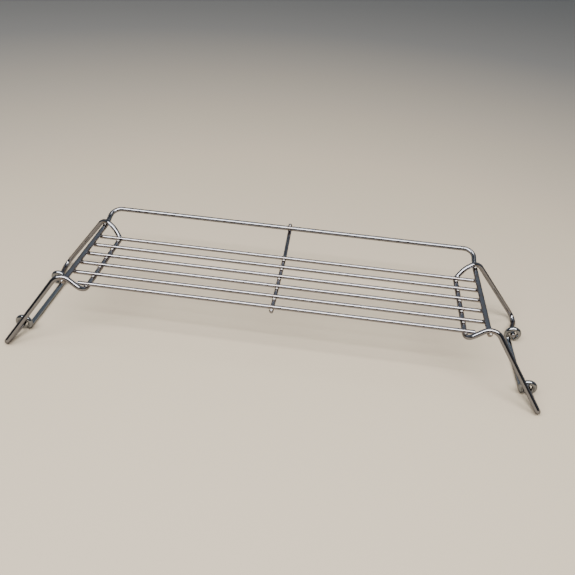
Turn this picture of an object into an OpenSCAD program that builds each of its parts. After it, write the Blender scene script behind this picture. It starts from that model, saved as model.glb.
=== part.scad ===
// Low wire rack: six tray wires in a bent wire frame, carried by two splayed wire legs.
// A swinging wire foot bail links the front and back foot of each leg.
// X runs along the tray wires, Y from front to back, Z up from the surface it stands on.

/* [Tray] */
// Distance between the centres of the two end bars
tray_w = 403; // [380:1:430]
// Distance from one tray wire to the next
wire_pitch = 17.3; // [16:0.1:18]
// Diameter of the tray wires and of the middle support
tray_d = 4; // [3.6:0.1:4.4]
// Height of the tray wires' centres
tray_z = 62; // [60:0.1:65]
// Distance from the origin forwards to the front tray wire
front_wire_y = 50.3; // [49.8:0.1:50.8]
// How much shorter the front tray wire is than the others
front_wire_cut = 23; // [21:0.5:25]

/* [Frame] */
// Diameter of the frame and leg wires
frame_d = 5; // [4.6:0.1:5.4]
// Distance from the front tray wire to the cut ends of the end bars
bar_overhang = 7; // [6:0.5:9]
// Distance from the back tray wire to the back rail
rail_gap = 44; // [42:0.5:46]
// Height of the back rail above the end bars
rail_rise = 7.4; // [6:0.2:9]
// Bend radius of the two back corners
corner_r = 11; // [9:0.5:14]
// How far crossing wires sink into each other at a weld
weld_sink = 0.4; // [0.2:0.1:0.6]

/* [Middle support] */
// How far the support stands in front of the front tray wire
support_overhang = 3.5; // [3:0.5:6]
// How far its back tip stands above the back rail's centre
support_tip = 3; // [2:0.2:6]

/* [Legs] */
// Distance between the inner stretches of the two legs
leg_inner_w = 363; // [356:1:370]
// Distance from an end bar out to the foot corner
foot_splay = 60; // [56:0.5:63]
// How far the front foot corner stands in front of the front tray wire
front_foot_reach = 37; // [35:0.5:39]
// How far the back foot corner stands behind the back tray wire
back_foot_reach = 27.5; // [26:0.5:32]
// Bend radius of the front feet
front_foot_r = 4; // [3.5:0.25:5]
// Bend radius of the back feet
back_foot_r = 8; // [6:0.5:9]

/* [Foot bails] */
// Distance from an end bar out to the axis that a bail swings about
hinge_out = 49.6; // [49:0.2:52]
// Distance between the front eye and the back eye of a bail
bail_len = 81; // [77:1:84]
// Radius of the eyes, at the wire's centre
eye_r = 6.3; // [6.2:0.1:7]
// Gap left under the eyes
floor_gap = 0.3; // [0.2:0.1:0.5]
// How far round its pin an eye reaches, in degrees
eye_turn = 265; // [240:5:275]

/* [Hidden] */
$fn = 40;
wires = 6;
chrome = [0.77, 0.78, 0.80];

bar_x = tray_w / 2;
front_y = -front_wire_y;
back_y = front_y + (wires - 1) * wire_pitch;
rail_y = back_y + rail_gap;
weld_step = (tray_d + frame_d) / 2 - weld_sink;
bar_z = tray_z + weld_step;
rail_z = bar_z + rail_rise;
bar_bend_y = rail_y - 21.5;
bar_bend_r = 15;

support_z = tray_z - tray_d + weld_sink;
support_back_y = rail_y + weld_step;
support_bend_y = back_y + 8;
support_bend_r = 10;
support_tip_r = 5;
support_drop = 4.5;

inner_x = leg_inner_w / 2;
inner_z = tray_z - weld_step;
inner_corner_r = 7;
front_corner_y = front_y - 7.5;
back_corner_y = back_y + 6.5;
crest_r = 11;
front_crest = [bar_x + 3, front_y - 5, bar_z + 9.1];
back_crest = [bar_x + 1.5, back_y + 19, bar_z + 7.1];
foot_x = bar_x + foot_splay;
back_foot_out = 0.5;
back_knee = [back_crest[0] - 12.7, back_crest[1] - 6.2, back_crest[2] - 5.5];
back_knee_r = 25;
front_foot_y = front_y - front_foot_reach;
back_foot_y = back_y + back_foot_reach;

hinge_x = bar_x + hinge_out;
hinge_z = eye_r + frame_d / 2 + floor_gap;
front_eye_y = front_y - 7;
back_eye_y = front_eye_y + bail_len;
pin_end = 4;
pin_bend = 8;
pin_bend_r = 8;

// At rest the bar of a bail lies on the floor, and that sets where its eyes begin
bail_bend_r = 4;
bar_reach = norm([eye_r, bail_bend_r]);
bar_angle = 180 + asin((hinge_z - frame_d / 2) / bar_reach);
eye_start = bar_angle - atan2(bail_bend_r, eye_r);
eye_tail = 1.2;

end_round = 0.8;
shortest = 0.2;
joint_gap = 0.05;
joint_swell = 0.04;

function unit(v) = v / norm(v);

// Centre of the arc that rounds corner b of the path a, b, c
function bend_centre(a, b, c, r) =
    let (u = unit(a - b), v = unit(c - b), half = acos(u * v) / 2)
    b + unit(u + v) * r / sin(half);

// Length that rounding corner b takes off each of its two straights
function bend_trim(a, b, c, r) =
    let (half = acos(unit(a - b) * unit(c - b)) / 2)
    r / tan(half);

// Height of the underside of the bend at corner b
function bend_low(a, b, c, r) =
    let (n = unit(cross(a - b, c - b)))
    bend_centre(a, b, c, r)[2] - r * sqrt(1 - n[2] * n[2]) - frame_d / 2;

// Corner b moved up or down until the bend there stands on the floor
function grounded(a, b, c, r, steps = 6) =
    steps == 0 ? b : grounded(a, b - [0, 0, bend_low(a, b, c, r)], c, r, steps - 1);

// One straight stretch of wire from a to b, with a rounded cut end where one is asked for
module straight(a, b, d, cut_a = false, cut_b = false) {
    v = b - a;
    h = norm(v);
    low = cut_a ? end_round : 0;
    high = cut_b ? h - end_round : h;
    translate(a)
        rotate([0, acos(v[2] / h), atan2(v[1], v[0])])
            rotate_extrude() {
                translate([0, low]) square([d / 2, high - low]);
                square([d / 2 - end_round, h]);
                if (cut_a) translate([d / 2 - end_round, low]) mirror([0, 1]) rounded_corner();
                if (cut_b) translate([d / 2 - end_round, high]) rounded_corner();
            }
}

module rounded_corner() {
    intersection() {
        circle(r = end_round);
        square(end_round);
    }
}

// Turns that bring the X, Y and Z axes onto three given square directions
function turns(x, y, z) = [atan2(y[2], z[2]), atan2(-x[2], norm([x[0], x[1]])), atan2(x[1], x[0])];

// One bend, rounding corner b of the path a, b, c, a hair short at both ends
module bend(a, b, c, r, d) {
    u = unit(a - b);
    v = unit(c - b);
    o = bend_centre(a, b, c, r);
    x = unit(b + u * bend_trim(a, b, c, r) - o);
    z = unit(cross(v, u));
    short = joint_gap / r * 180 / PI;
    translate(o)
        rotate(turns(x, cross(z, x), z))
            rotate(short)
                rotate_extrude(angle = 180 - acos(u * v) - 2 * short)
                    translate([r, 0]) circle(d = d);
}

// A hair-wide ball that joins two stretches of a wire at point p
module joint(p, d) {
    translate(p) sphere(d = d + joint_swell);
}

// A wire along a path of points, each inner corner rounded by its own radius
module bent_wire(points, radii, d) {
    last = len(points) - 1;
    trims = [for (i = [0:last]) i == 0 || i == last ? 0
             : bend_trim(points[i - 1], points[i], points[i + 1], radii[i - 1])];
    for (i = [1:last]) {
        v = unit(points[i] - points[i - 1]);
        from = points[i - 1] + v * trims[i - 1];
        to = points[i] - v * trims[i];
        first_one = i == 1;
        last_one = i == last;
        if ((to - from) * v > shortest) {
            straight(from + v * (first_one ? 0 : joint_gap), to - v * (last_one ? 0 : joint_gap),
                     d, first_one, last_one);
            if (!first_one) joint(from, d);
            if (!last_one) joint(to, d);
        } else if (!first_one && !last_one) joint(from, d);
    }
    for (i = [1:last - 1])
        bend(points[i - 1], points[i], points[i + 1], radii[i - 1], d);
}

frame_path = [[-bar_x, front_y - bar_overhang, bar_z], [-bar_x, bar_bend_y, bar_z],
              [-bar_x, rail_y, rail_z], [bar_x, rail_y, rail_z],
              [bar_x, bar_bend_y, bar_z], [bar_x, front_y - bar_overhang, bar_z]];

support_path = [[0, front_y - support_overhang, support_z], [0, support_bend_y, support_z],
                [0, support_back_y, rail_z - support_drop], [0, support_back_y, rail_z + support_tip]];

// Leg path on the right side, from the front hinge pin over to the back one
front_pin = [hinge_x, front_eye_y + pin_end, hinge_z];
front_pin_bend = [hinge_x, front_eye_y - pin_bend, hinge_z];
front_foot = grounded(front_pin_bend, [foot_x, front_foot_y, 0], front_crest, front_foot_r);
back_pin = [hinge_x, back_eye_y - pin_end, hinge_z];
back_pin_bend = [hinge_x, back_eye_y + pin_bend, hinge_z];
back_foot = grounded(back_pin_bend, [foot_x + back_foot_out, back_foot_y, 0], back_crest, back_foot_r);
leg_path = [front_pin, front_pin_bend, front_foot, front_crest,
            [inner_x, front_corner_y, inner_z], [inner_x, back_corner_y, inner_z],
            back_knee, back_crest, back_foot, back_pin_bend, back_pin];
leg_radii = [pin_bend_r, front_foot_r, crest_r, inner_corner_r,
             inner_corner_r, back_knee_r, crest_r, back_foot_r, pin_bend_r];

function around_pin(y, r, angle) = [hinge_x + r * cos(angle), y, hinge_z + r * sin(angle)];

// Middle stretch of a bail: from the start of one eye along the floor to the start of the other
bail_path = [around_pin(back_eye_y, eye_r, eye_start), around_pin(back_eye_y, bar_reach, bar_angle),
             around_pin(front_eye_y, bar_reach, bar_angle), around_pin(front_eye_y, eye_r, eye_start)];

module frame_wire() {
    color(chrome)
        bent_wire(frame_path, [bar_bend_r, corner_r, corner_r, bar_bend_r], frame_d);
}

module middle_support() {
    color(chrome) bent_wire(support_path, [support_bend_r, support_tip_r], tray_d);
}

// Tray wire i, counted from the back
module tray_wire(i) {
    y = back_y - (i - 1) * wire_pitch;
    half = i == wires ? bar_x - front_wire_cut / 2 : bar_x;
    color(chrome) straight([-half, y, tray_z], [half, y, tray_z], tray_d, true, true);
}

module leg() {
    color(chrome) bent_wire(leg_path, leg_radii, frame_d);
}

// Eye round a foot pin in the plane y: over the pin, down its outer side, and a short tail
module eye(y) {
    tail_angle = eye_start - eye_turn;
    tail = around_pin(y, eye_r, tail_angle);
    along = [sin(tail_angle), 0, -cos(tail_angle)];
    short = joint_gap / eye_r * 180 / PI;
    joint(around_pin(y, eye_r, eye_start), frame_d);
    translate([hinge_x, y, hinge_z])
        rotate([90, 0, 0])
            rotate(tail_angle + short)
                rotate_extrude(angle = eye_turn - 2 * short) translate([eye_r, 0]) circle(d = frame_d);
    joint(tail, frame_d);
    straight(tail + along * joint_gap, tail + along * eye_tail, frame_d, false, true);
}

module foot_bail() {
    color(chrome) {
        bent_wire(bail_path, [bail_bend_r, bail_bend_r], frame_d);
        eye(front_eye_y);
        eye(back_eye_y);
    }
}

frame_wire();
middle_support();
for (i = [1:wires])
    tray_wire(i);
mirror([1, 0, 0]) leg();  // left_leg
leg();  // right_leg
mirror([1, 0, 0]) foot_bail();  // left_foot_bail
foot_bail();  // right_foot_bail
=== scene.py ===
import math

import bpy
from mathutils import Matrix, Vector


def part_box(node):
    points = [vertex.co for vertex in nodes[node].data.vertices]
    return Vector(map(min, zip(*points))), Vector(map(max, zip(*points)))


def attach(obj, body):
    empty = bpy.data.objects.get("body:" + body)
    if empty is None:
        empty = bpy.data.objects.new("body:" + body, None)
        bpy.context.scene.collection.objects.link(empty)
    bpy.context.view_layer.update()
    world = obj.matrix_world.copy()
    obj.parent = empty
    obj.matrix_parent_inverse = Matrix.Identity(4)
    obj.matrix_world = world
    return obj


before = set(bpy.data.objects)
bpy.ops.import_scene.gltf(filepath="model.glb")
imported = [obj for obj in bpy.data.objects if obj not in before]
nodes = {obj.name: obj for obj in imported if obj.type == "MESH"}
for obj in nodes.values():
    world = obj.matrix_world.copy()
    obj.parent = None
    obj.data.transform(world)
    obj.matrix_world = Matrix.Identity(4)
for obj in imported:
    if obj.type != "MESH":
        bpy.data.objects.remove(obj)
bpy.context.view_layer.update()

mm = 0.001


def middle(node):
    low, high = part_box(node)
    return (low + high) / 2


trayLines = [middle(n) for n in sorted(nodes) if n.startswith("tray_wire_")]   # back to front
trayZ = trayLines[0].z
trayRadius = (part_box("tray_wire_1")[1].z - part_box("tray_wire_1")[0].z) / 2
frameRadius = 2.5 * mm                                   # half of the 5 mm frame wire
beadSink = 0.2 * mm                                      # how far a bead sits into its wire
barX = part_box("frame_wire")[1].x - frameRadius           # centre line of an end bar
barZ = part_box("frame_wire")[0].z + frameRadius
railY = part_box("frame_wire")[1].y - frameRadius
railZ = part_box("frame_wire")[1].z - frameRadius
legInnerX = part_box("right_leg")[0].x + frameRadius       # inner stretch of a leg


class Shade:
    # a socket that takes part in sums
    def __init__(self, tree, socket=None):
        self.tree = tree
        self.socket = socket

    def feed(self, target, value):
        if isinstance(value, Shade):
            self.tree.links.new(value.socket, target)
        else:
            target.default_value = value

    def node(self, kind, settings=None, inputs=None, out=0):
        made = self.tree.nodes.new(kind)
        for key, value in (settings or {}).items():
            setattr(made, key, value)
        for key, value in (inputs or {}).items():
            self.feed(made.inputs[key], value)
        return Shade(self.tree, made.outputs[out])

    def sum(self, operation, a, b):
        return self.node("ShaderNodeMath", {"operation": operation}, {0: a, 1: b})

    def __add__(self, other):
        return self.sum("ADD", self, other)

    def __radd__(self, other):
        return self.sum("ADD", other, self)

    def __sub__(self, other):
        return self.sum("SUBTRACT", self, other)

    def __rsub__(self, other):
        return self.sum("SUBTRACT", other, self)

    def __mul__(self, other):
        return self.sum("MULTIPLY", self, other)

    def __rmul__(self, other):
        return self.sum("MULTIPLY", other, self)

    def __truediv__(self, other):
        return self.sum("DIVIDE", self, other)

    def __abs__(self):
        return self.sum("ABSOLUTE", self, 0.0)

    def root(self):
        return self.sum("SQRT", self, 0.0)

    def atLeast(self, other):
        return self.sum("MAXIMUM", self, other)

    def atMost(self, other):
        return self.sum("MINIMUM", self, other)

    def clamped(self):
        return self.atLeast(0.0).atMost(1.0)

    def near(self, place, width):        # 1 at the place, falling to 0 a width away
        return (1 - abs(self - place) / width).atLeast(0.0)

    def mix(self, low, high):            # a colour that follows this mask
        return self.node("ShaderNodeMix", {"data_type": "RGBA"}, {0: self, 6: low, 7: high}, 2)


edgeTint = (0.30, 0.29, 0.29)      # what a surface gives back at a glancing angle


def newMaterial(name):
    material = bpy.data.materials.new(name)
    material.use_nodes = True
    tree = material.node_tree
    shader = tree.nodes["Principled BSDF"]
    shader.inputs["Metallic"].default_value = 1.0
    shader.inputs["Specular Tint"].default_value = colour4(edgeTint)
    shade = Shade(tree)
    place = shade.node("ShaderNodeTexCoord", out=3)
    split = place.tree.nodes.new("ShaderNodeSeparateXYZ")
    tree.links.new(place.socket, split.inputs[0])
    axes = [Shade(tree, split.outputs[i]) for i in range(3)]
    return material, shader, shade, place, axes


def colour4(colour, share=1.0):
    return tuple(c * share for c in colour) + (1.0,)


frameChrome = dict(colour=(0.205, 0.205, 0.22), roughness=0.055,
                   haze=0.10, hazeSize=26, grain=0.35, spots=0.5)
trayChrome = dict(colour=(0.235, 0.23, 0.245), roughness=0.075,
                  haze=0.12, hazeSize=34, grain=0.45, spots=0.6)
bailChrome = dict(colour=(0.22, 0.23, 0.245), roughness=0.07,
                  haze=0.14, hazeSize=22, grain=0.5, spots=0.5)
footWear = dict(height=3.2, roughness=0.30, colour=(0.24, 0.22, 0.20))      # height in mm
spotRim = (0.38, 0.37, 0.35)
heatTint = (0.22, 0.165, 0.12)


def chrome(name, look, heat, streaks):
    # polished chrome with haze, dried water spots, heat tint at the welds and worn undersides
    material, shader, shade, place, (x, y, z) = newMaterial(name)
    cloud = place.node("ShaderNodeTexNoise", None,
                       {"Vector": place, "Scale": look["hazeSize"], "Detail": 4.0, "Roughness": 0.6})
    stretched = place.node("ShaderNodeMapping", None, {"Vector": place, "Scale": streaks})
    drawn = place.node("ShaderNodeTexNoise", None,
                       {"Vector": stretched, "Scale": 1.0, "Detail": 3.0, "Roughness": 0.55})
    pits = place.node("ShaderNodeTexNoise", None,
                      {"Vector": place, "Scale": 1500.0, "Detail": 2.0, "Roughness": 0.5})
    drops = place.node("ShaderNodeTexVoronoi", None,
                       {"Vector": place, "Scale": 95.0, "Randomness": 1.0})
    spot = ((0.26 - drops) * 14).clamped() * ((cloud - 0.47) * 9).clamped()
    rim = spot * (1 - spot) * 4
    welds = heat(x, y, z).atMost(1.0) * (0.55 + cloud * 0.8)
    floorRub = z.near(0.0, footWear["height"] * mm) * ((drawn - 0.35) * 4).clamped()
    clean = (cloud * 0.9 + drawn * 0.5 - 0.2).clamped()
    base = clean.mix(colour4(look["colour"], 0.90), colour4(look["colour"], 1.06))
    base = (rim * look["spots"] * 0.5).mix(base, colour4(spotRim))
    base = (welds * 0.45).mix(base, colour4(heatTint))
    base = floorRub.mix(base, colour4(footWear["colour"]))
    haze = (cloud - 0.4).atLeast(0.0) * look["haze"]
    stains = (spot * 0.06 + rim * 0.08) * look["spots"]
    rough = (look["roughness"] + haze + stains + welds * 0.16
             + floorRub * footWear["roughness"] + (drawn - 0.5) * 0.03)
    relief = drawn * look["grain"] + pits * 0.25 + welds * pits * 1.5 + floorRub * drawn * 2
    bump = shade.node("ShaderNodeBump", None, {"Strength": 0.2, "Distance": 0.00005, "Height": relief})
    shade.feed(shader.inputs["Base Color"], base)
    shade.feed(shader.inputs["Roughness"], rough.atLeast(0.03))
    shade.feed(shader.inputs["Normal"], bump)
    return material


weldMetal = dict(colour=(0.155, 0.145, 0.135), roughness=0.24, lumps=900)


def weldFinish():
    # plated weld metal: lumpy, duller than the wire, darker in sooted patches
    material, shader, shade, place, (x, y, z) = newMaterial("weldMetal")
    lumps = place.node("ShaderNodeTexNoise", None,
                       {"Vector": place, "Scale": weldMetal["lumps"], "Detail": 3.0, "Roughness": 0.6})
    soot = place.node("ShaderNodeTexNoise", None, {"Vector": place, "Scale": 210.0, "Detail": 2.0})
    sooted = ((soot - 0.35) * 2.4).clamped()
    base = sooted.mix(colour4(weldMetal["colour"], 1.25), colour4(weldMetal["colour"], 0.55))
    bump = shade.node("ShaderNodeBump", None, {"Strength": 0.5, "Distance": 0.0002, "Height": lumps})
    shade.feed(shader.inputs["Base Color"], base)
    shade.feed(shader.inputs["Roughness"], weldMetal["roughness"] + lumps * 0.2)
    shade.feed(shader.inputs["Normal"], bump)
    return material


def trayHeat(x, y, z):
    side = abs(x)
    return side.near(barX, 7 * mm) + side.near(legInnerX, 5 * mm) + side.near(0.0, 4.5 * mm)


def barHeat(x, y, z):
    rows = y.near(trayLines[0].y, 5 * mm)
    for line in trayLines[1:5]:
        rows = rows + y.near(line.y, 5 * mm)
    crests = y.near(crestPlaces[0].y, 6 * mm) + y.near(crestPlaces[1].y, 6 * mm)
    return (rows + crests) * abs(x).near(barX, 8 * mm) + abs(x).near(0.0, 5 * mm)


def legHeat(x, y, z):
    rows = y.near(trayLines[0].y, 4.5 * mm)
    for line in trayLines[1:]:
        rows = rows + y.near(line.y, 4.5 * mm)
    return rows * abs(x).near(legInnerX, 5 * mm) + abs(x).near(barX, 5 * mm) * z.near(barZ + 4 * mm, 7 * mm)


def supportHeat(x, y, z):
    rows = y.near(trayLines[0].y, 4 * mm) + y.near(railY + 4 * mm, 4 * mm)
    for line in trayLines[1:]:
        rows = rows + y.near(line.y, 4 * mm)
    return rows


def bailHeat(x, y, z):
    return x * 0.0                       # a bail has no weld


def paint(node, material):
    piece = nodes[node]
    piece.data.materials.clear()
    piece.data.materials.append(material)


weldBead = dict(along=2.9, across=2.1, thick=1.35, waist=1.25, wobble=0.09)      # radii in mm


def beadMesh():
    # one weld bead: its upper half spreads along Y and its lower half along X
    bpy.ops.object.select_all(action="DESELECT")
    bpy.ops.mesh.primitive_uv_sphere_add(segments=20, ring_count=12, radius=1)
    bead = bpy.context.object
    for sign, stretch in ((1, (1 / weldBead["waist"], weldBead["waist"], 1)),
                          (-1, (weldBead["waist"], 1 / weldBead["waist"], 1))):
        for vertex in bead.data.vertices:
            vertex.select = vertex.co.z * sign > 0.12
        for part in list(bead.data.edges) + list(bead.data.polygons):
            part.select = False
        bpy.ops.object.mode_set(mode="EDIT")
        bpy.ops.mesh.select_mode(type="VERT")
        bpy.ops.transform.resize(value=stretch, center_override=(0, 0, 0))
        bpy.ops.object.mode_set(mode="OBJECT")
    bpy.ops.object.mode_set(mode="EDIT")
    bpy.ops.mesh.select_all(action="SELECT")
    bpy.ops.transform.vertex_random(offset=weldBead["wobble"], seed=7)
    size = (weldBead["along"] * mm, weldBead["across"] * mm, weldBead["thick"] * mm)
    bpy.ops.transform.resize(value=size, center_override=(0, 0, 0))
    bpy.ops.mesh.normals_make_consistent(inside=False)
    bpy.ops.object.mode_set(mode="OBJECT")
    bpy.ops.object.shade_smooth()
    return bead


def beads(name, places, flip=False, turn=None):
    # copies of the bead, each turned its own way about the contact, joined into one piece
    made = []
    for index, place in enumerate(places):
        copy = seedBead.copy()
        copy.data = seedBead.data.copy()
        bpy.context.scene.collection.objects.link(copy)
        shape = Matrix.Rotation(math.pi / 2 if flip else 0.0, 4, "Z")
        shape = Matrix.Rotation(math.pi * (index % 2), 4, "Z") @ shape
        shape = (turn or Matrix.Identity(4)) @ shape
        copy.data.transform(Matrix.Translation(place) @ shape)
        made.append(copy)
    bpy.ops.object.select_all(action="DESELECT")
    for copy in made:
        copy.select_set(True)
    bpy.context.view_layer.objects.active = made[0]
    if len(made) > 1:
        bpy.ops.object.join()
    piece = bpy.context.view_layer.objects.active
    piece.name = name
    piece.data.materials.clear()
    piece.data.materials.append(weldPaint)
    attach(piece, "rack")
    return piece


def crestContact(leg, front):
    # where a leg's wire lies on its end bar
    found = []
    for vertex in nodes[leg].data.vertices:
        co = vertex.co
        if abs(abs(co.x) - barX) < 2 * mm and co.z > barZ + frameRadius and (co.y < 0) == front:
            found.append(co)
    low = min(co.z for co in found)
    return sum(found, Vector()) / len(found), low


crestPlaces = []
for front in (True, False):
    centre, low = crestContact("right_leg", front)
    crestPlaces.append(Vector((barX, centre.y, low)))

frameFinish = chrome("chromeFrame", frameChrome, barHeat, (60.0, 900.0, 900.0))
trayFinish = chrome("chromeTray", trayChrome, trayHeat, (40.0, 1300.0, 1300.0))
legFinish = chrome("chromeLeg", frameChrome, legHeat, (700.0, 500.0, 90.0))
supportFinish = chrome("chromeSupport", trayChrome, supportHeat, (1300.0, 40.0, 1300.0))
bailFinish = chrome("chromeBail", bailChrome, bailHeat, (900.0, 50.0, 900.0))
weldPaint = weldFinish()
paint("frame_wire", frameFinish)
paint("middle_support", supportFinish)
for name in nodes:
    if name.startswith("tray_wire_"):
        paint(name, trayFinish)
    if name.endswith("_leg"):
        paint(name, legFinish)
    if name.endswith("_foot_bail"):
        paint(name, bailFinish)
print("chrome done")

seedBead = beadMesh()
tops = trayZ + trayRadius - beadSink
unders = trayZ - trayRadius + beadSink
sides = (-1, 1)
quarter = Matrix.Rotation(math.pi / 2, 4, "X")
beads("tray_end_welds", [Vector((s * barX, line.y, tops)) for s in sides for line in trayLines[:5]])
beads("leg_welds", [Vector((s * legInnerX, line.y, unders)) for s in sides for line in trayLines],
      flip=True)
beads("support_welds", [Vector((0, line.y, unders)) for line in trayLines], flip=True)
beads("rail_weld", [Vector((0, railY + frameRadius - beadSink, railZ))], turn=quarter)
beads("crest_welds", [Vector((s * place.x, place.y, place.z)) for s in sides for place in crestPlaces],
      flip=True)
bpy.data.objects.remove(seedBead)
print("welds done")


# the floor's colours paint a pool of light: the near colour around the rack, painted shade farther out
studioFloor = dict(size=16.0, near=(0.40, 0.335, 0.25), far=(0.24, 0.225, 0.205),
                   clear=0.45, paintedFalloffWidth=0.9, roughness=0.6)


def makeFloor():
    bpy.ops.object.select_all(action="DESELECT")
    bpy.ops.mesh.primitive_plane_add(size=studioFloor["size"])
    ground = bpy.context.object
    ground.name = "studio_floor"
    material, shader, shade, place, axes = newMaterial("floorPaint")
    shader.inputs["Metallic"].default_value = 0.0
    shader.inputs["Roughness"].default_value = studioFloor["roughness"]
    x, y, z = axes
    radius = (x * x + y * y).root()
    # painted falloff of light: the floor's colour is painted darker outwards from the rack
    away = ((radius - studioFloor["clear"]) / studioFloor["paintedFalloffWidth"]).clamped()      # darker outwards
    shade.feed(shader.inputs["Base Color"],
               away.mix(colour4(studioFloor["near"]), colour4(studioFloor["far"])))
    ground.data.materials.append(material)


softbox = dict(place=(0.0, -0.62, 1.20), size=(2.2, 0.58), watts=72)
topCard = dict(place=(-0.10, 0.25, 1.60), size=(1.4, 0.30), watts=9)


def makeLight(name, look, target):
    data = bpy.data.lights.new(name, "AREA")
    data.shape = "RECTANGLE"
    data.size, data.size_y = look["size"]
    data.energy = look["watts"]
    lamp = bpy.data.objects.new(name, data)
    bpy.context.scene.collection.objects.link(lamp)
    lamp.location = look["place"]
    lamp.rotation_euler = (Vector(target) - Vector(look["place"])).to_track_quat("-Z", "Y").to_euler()


sky = dict(over=(0.10, 0.11, 0.125), ahead=(0.56, 0.64, 0.72), behind=(0.10, 0.098, 0.095), level=0.8)


def makeSky():
    world = bpy.data.worlds.new("studioSky")
    bpy.context.scene.world = world
    world.use_nodes = True
    shade = Shade(world.node_tree)
    place = shade.node("ShaderNodeTexCoord")
    split = world.node_tree.nodes.new("ShaderNodeSeparateXYZ")
    world.node_tree.links.new(place.socket, split.inputs[0])
    ahead = (Shade(world.node_tree, split.outputs[1]) * 0.8 + 0.5).clamped()
    up = ((Shade(world.node_tree, split.outputs[2]) - 0.62) * 3).clamped()
    wall = ahead.mix(colour4(sky["behind"]), colour4(sky["ahead"]))
    back = world.node_tree.nodes["Background"]
    shade.feed(back.inputs["Color"], up.mix(wall, colour4(sky["over"])))
    back.inputs["Strength"].default_value = sky["level"]


camera = dict(place=(0.0526, -0.4963, 0.4072), turn=5.0, down=35.6, roll=4.06, lens=37.5)


def makeCamera():
    data = bpy.data.cameras.new("viewCamera")
    data.lens = camera["lens"]
    data.sensor_width = 36.0
    eye = bpy.data.objects.new("viewCamera", data)
    bpy.context.scene.collection.objects.link(eye)
    turn = Matrix.Rotation(math.radians(camera["turn"]), 4, "Z")
    tilt = Matrix.Rotation(math.radians(90 - camera["down"]), 4, "X")
    roll = Matrix.Rotation(math.radians(camera["roll"]), 4, "Z")
    eye.matrix_world = Matrix.Translation(camera["place"]) @ turn @ tilt @ roll
    bpy.context.scene.camera = eye


makeFloor()
makeLight("softbox", softbox, (0, 0, 0))
makeLight("topCard", topCard, (0, 0, 0))
makeSky()
makeCamera()
print("studio done")
